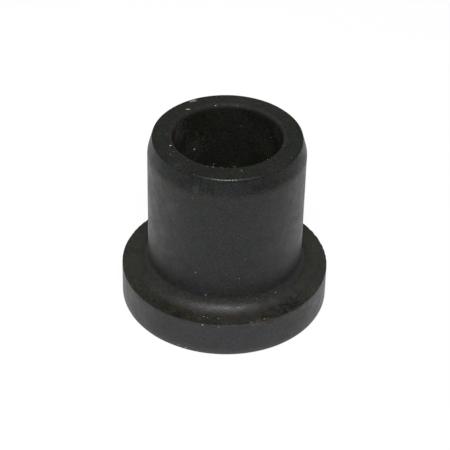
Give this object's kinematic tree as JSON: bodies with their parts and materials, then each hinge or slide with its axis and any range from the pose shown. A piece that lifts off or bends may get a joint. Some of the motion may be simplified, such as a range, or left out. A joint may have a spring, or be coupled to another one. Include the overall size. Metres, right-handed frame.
{
  "type": "flanged rubber bushing",
  "caption": "Thick-flanged cylindrical rubber bushing with a plain through bore, a filleted root and a lead-in taper at the free end.",
  "frame": {"origin": "centre of the flange's underside, on the bore's axis", "axes": "+Z along the bore from the flange to the tapered nose; X and Y are free, because the part is round"},
  "size_m": [0.048, 0.048, 0.044],
  "materials": {
    "rubber": "moulded satin black rubber, dusty, with a few pale specks"
  },
  "bodies": {
    "root": {"bushing": "rubber"}
  },
  "joints": []
}
